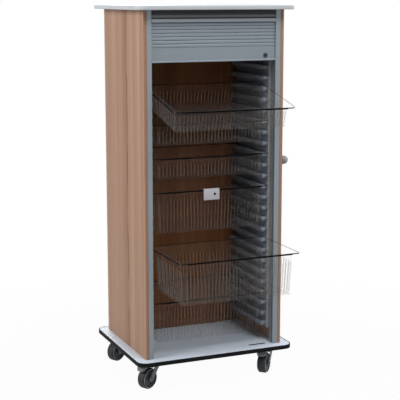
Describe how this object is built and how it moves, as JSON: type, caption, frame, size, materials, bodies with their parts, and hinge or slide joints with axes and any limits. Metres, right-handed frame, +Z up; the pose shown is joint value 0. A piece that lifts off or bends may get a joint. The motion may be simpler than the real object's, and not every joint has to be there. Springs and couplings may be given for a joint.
{
  "type": "mobile basket storage cabinet",
  "caption": "Tall mobile storage cabinet with a roller shutter, clear slotted baskets that slide or tip on side runners, a push handle and braked swivel castors.",
  "frame": {"origin": "on the floor, under the middle of the object's box as it stands with one basket pulled out", "axes": "+X to the right seen from the front, +Y to the back, +Z up"},
  "size_m": [0.819, 0.896, 1.783],
  "materials": {
    "laminate": "satin wood-grain laminate",
    "worktop": "light grey laminate, satin",
    "deck": "pale grey laminate, satin",
    "bumper": "matt black",
    "post": "satin anodised",
    "shutter": "satin silver grey",
    "lock_metal": "satin",
    "runner": "fine matt",
    "handle": "satin",
    "clear": "clear, glossy",
    "label": "white",
    "castor_steel": "zinc grey",
    "fork": "satin mid grey",
    "hub": "satin dark grey",
    "tyre": "matt"
  },
  "bodies": {
    "cabinet": {"worktop": "worktop", "deck": "deck", "deck_bumper": "bumper", "side_panel_left": "laminate", "side_panel_right": "laminate", "outer_back_panel": "laminate", "false_back_panel": "laminate", "inner_ceiling": "laminate", "front_post_left": "post", "front_post_right": "post", "pelmet": "post", "pelmet_band": "post", "stored_curtain": "shutter", "curtain_track_left": "post", "curtain_track_right": "post", "strike_plate": "bumper", "runner_panel_left_lower": "runner", "runner_panel_left_upper": "runner", "runner_panel_right_lower": "runner", "runner_panel_right_upper": "runner", "push_handle_bar": "handle", "handle_bracket_front": "handle", "handle_bracket_rear": "handle", "castor_plate_front_left": "castor_steel", "castor_plate_front_right": "castor_steel", "castor_plate_rear_left": "castor_steel", "castor_plate_rear_right": "castor_steel"},
    "shutter": {"shutter_curtain": "shutter", "shutter_rail": "shutter", "lock_rosette": "lock_metal"},
    "upper_slats": {"shutter_upper_slats": "shutter"},
    "lock_barrel": {"lock_barrel": "lock_metal"},
    "lock_bolt": {"lock_bolt": "lock_metal"},
    "basket_deep_bottom": {"basket_deep_bottom": "clear"},
    "basket_deep_middle": {"basket_deep_middle": "clear", "basket_divider": "clear"},
    "basket_deep_upper": {"basket_deep_upper": "clear", "label_holder": "label"},
    "basket_shallow_lower": {"basket_shallow_lower": "clear"},
    "basket_shallow_middle": {"basket_shallow_middle": "clear"},
    "basket_shallow_top": {"basket_shallow_top": "clear"},
    "castor_fork_front_left": {"castor_fork_front_left": "fork", "castor_axle_front_left": "castor_steel"},
    "castor_wheel_front_left": {"castor_hub_front_left": "hub", "castor_tyre_front_left": "tyre"},
    "castor_fork_front_right": {"castor_fork_front_right": "fork", "castor_axle_front_right": "castor_steel"},
    "castor_wheel_front_right": {"castor_hub_front_right": "hub", "castor_tyre_front_right": "tyre"},
    "castor_fork_rear_left": {"castor_fork_rear_left": "fork", "castor_axle_rear_left": "castor_steel"},
    "castor_wheel_rear_left": {"castor_hub_rear_left": "hub", "castor_tyre_rear_left": "tyre"},
    "castor_fork_rear_right": {"castor_fork_rear_right": "fork", "castor_axle_rear_right": "castor_steel"},
    "castor_wheel_rear_right": {"castor_hub_rear_right": "hub", "castor_tyre_rear_right": "tyre"},
    "brake_pedal_front_left": {"brake_pedal_front_left": "fork"},
    "brake_pedal_front_right": {"brake_pedal_front_right": "fork"}
  },
  "joints": [
    {"name": "shutter_drop", "type": "slide", "parent": "cabinet", "child": "shutter", "axis": [0, 0, -1], "range_m": [0, 0.096]},
    {"name": "upper_slats_fold", "type": "hinge", "parent": "shutter", "child": "upper_slats", "pos_m": [-0.0105, -0.1305, 1.723], "axis": [1, 0, 0], "range_deg": [0, 90.2]},
    {"name": "lock_turn", "type": "hinge", "parent": "shutter", "child": "lock_barrel", "pos_m": [0.2492, -0.136, 1.5517], "axis": [0, -1, 0], "range_deg": [0, 90.2]},
    {"name": "lock_bolt_slide", "type": "slide", "parent": "shutter", "child": "lock_bolt", "axis": [0, 0, -1], "range_m": [0, 0.012]},
    {"name": "basket_deep_bottom_slide", "type": "slide", "parent": "cabinet", "child": "basket_deep_bottom", "axis": [0, -1, 0], "range_m": [0, 0.329]},
    {"name": "basket_deep_middle_slide", "type": "slide", "parent": "cabinet", "child": "basket_deep_middle", "axis": [0, -1, 0], "range_m": [-0.329, 0]},
    {"name": "basket_deep_upper_slide", "type": "slide", "parent": "cabinet", "child": "basket_deep_upper", "axis": [0, -1, 0], "range_m": [0, 0.329]},
    {"name": "basket_shallow_lower_slide", "type": "slide", "parent": "cabinet", "child": "basket_shallow_lower", "axis": [0, -1, 0], "range_m": [0, 0.329]},
    {"name": "basket_shallow_middle_slide", "type": "slide", "parent": "cabinet", "child": "basket_shallow_middle", "axis": [0, -1, 0], "range_m": [0, 0.15]},
    {"name": "basket_shallow_top_tilt", "type": "hinge", "parent": "cabinet", "child": "basket_shallow_top", "pos_m": [-0.0105, -0.0705, 1.3875], "axis": [-1, 0, 0], "range_deg": [0, 13.5]},
    {"name": "castor_swivel_front_left", "type": "hinge", "parent": "cabinet", "child": "castor_fork_front_left", "pos_m": [-0.3105, -0.101, 0.12], "axis": [0, 0, 1], "continuous": true},
    {"name": "castor_roll_front_left", "type": "hinge", "parent": "castor_fork_front_left", "child": "castor_wheel_front_left", "pos_m": [-0.34374, -0.11942, 0.05], "axis": [-0.4848, 0.8746, 0], "continuous": true},
    {"name": "brake_press_front_left", "type": "hinge", "parent": "castor_fork_front_left", "child": "brake_pedal_front_left", "pos_m": [-0.33962, -0.11714, 0.1184], "axis": [0.4848, -0.8746, 0], "range_deg": [0, 10]},
    {"name": "castor_swivel_front_right", "type": "hinge", "parent": "cabinet", "child": "castor_fork_front_right", "pos_m": [0.2895, -0.101, 0.12], "axis": [0, 0, 1], "continuous": true},
    {"name": "castor_roll_front_right", "type": "hinge", "parent": "castor_fork_front_right", "child": "castor_wheel_front_right", "pos_m": [0.26358, -0.12879, 0.05], "axis": [-0.7314, 0.682, 0], "continuous": true},
    {"name": "brake_press_front_right", "type": "hinge", "parent": "castor_fork_front_right", "child": "brake_pedal_front_right", "pos_m": [0.26679, -0.12535, 0.1184], "axis": [0.7314, -0.682, 0], "range_deg": [0, 10]},
    {"name": "castor_swivel_rear_left", "type": "hinge", "parent": "cabinet", "child": "castor_fork_rear_left", "pos_m": [-0.3105, 0.349, 0.12], "axis": [0, 0, 1], "continuous": true},
    {"name": "castor_roll_rear_left", "type": "hinge", "parent": "castor_fork_rear_left", "child": "castor_wheel_rear_left", "pos_m": [-0.34374, 0.33058, 0.05], "axis": [-0.4848, 0.8746, 0], "continuous": true},
    {"name": "castor_swivel_rear_right", "type": "hinge", "parent": "cabinet", "child": "castor_fork_rear_right", "pos_m": [0.2895, 0.349, 0.12], "axis": [0, 0, 1], "continuous": true},
    {"name": "castor_roll_rear_right", "type": "hinge", "parent": "castor_fork_rear_right", "child": "castor_wheel_rear_right", "pos_m": [0.25876, 0.32666, 0.05], "axis": [-0.5878, 0.809, 0], "continuous": true}
  ],
  "couplings": [
    {"joint": "upper_slats_fold", "follows": "shutter_drop", "rad_per_m": 16.363},
    {"joint": "lock_turn", "follows": "lock_bolt_slide", "rad_per_m": 130.9}
  ]
}
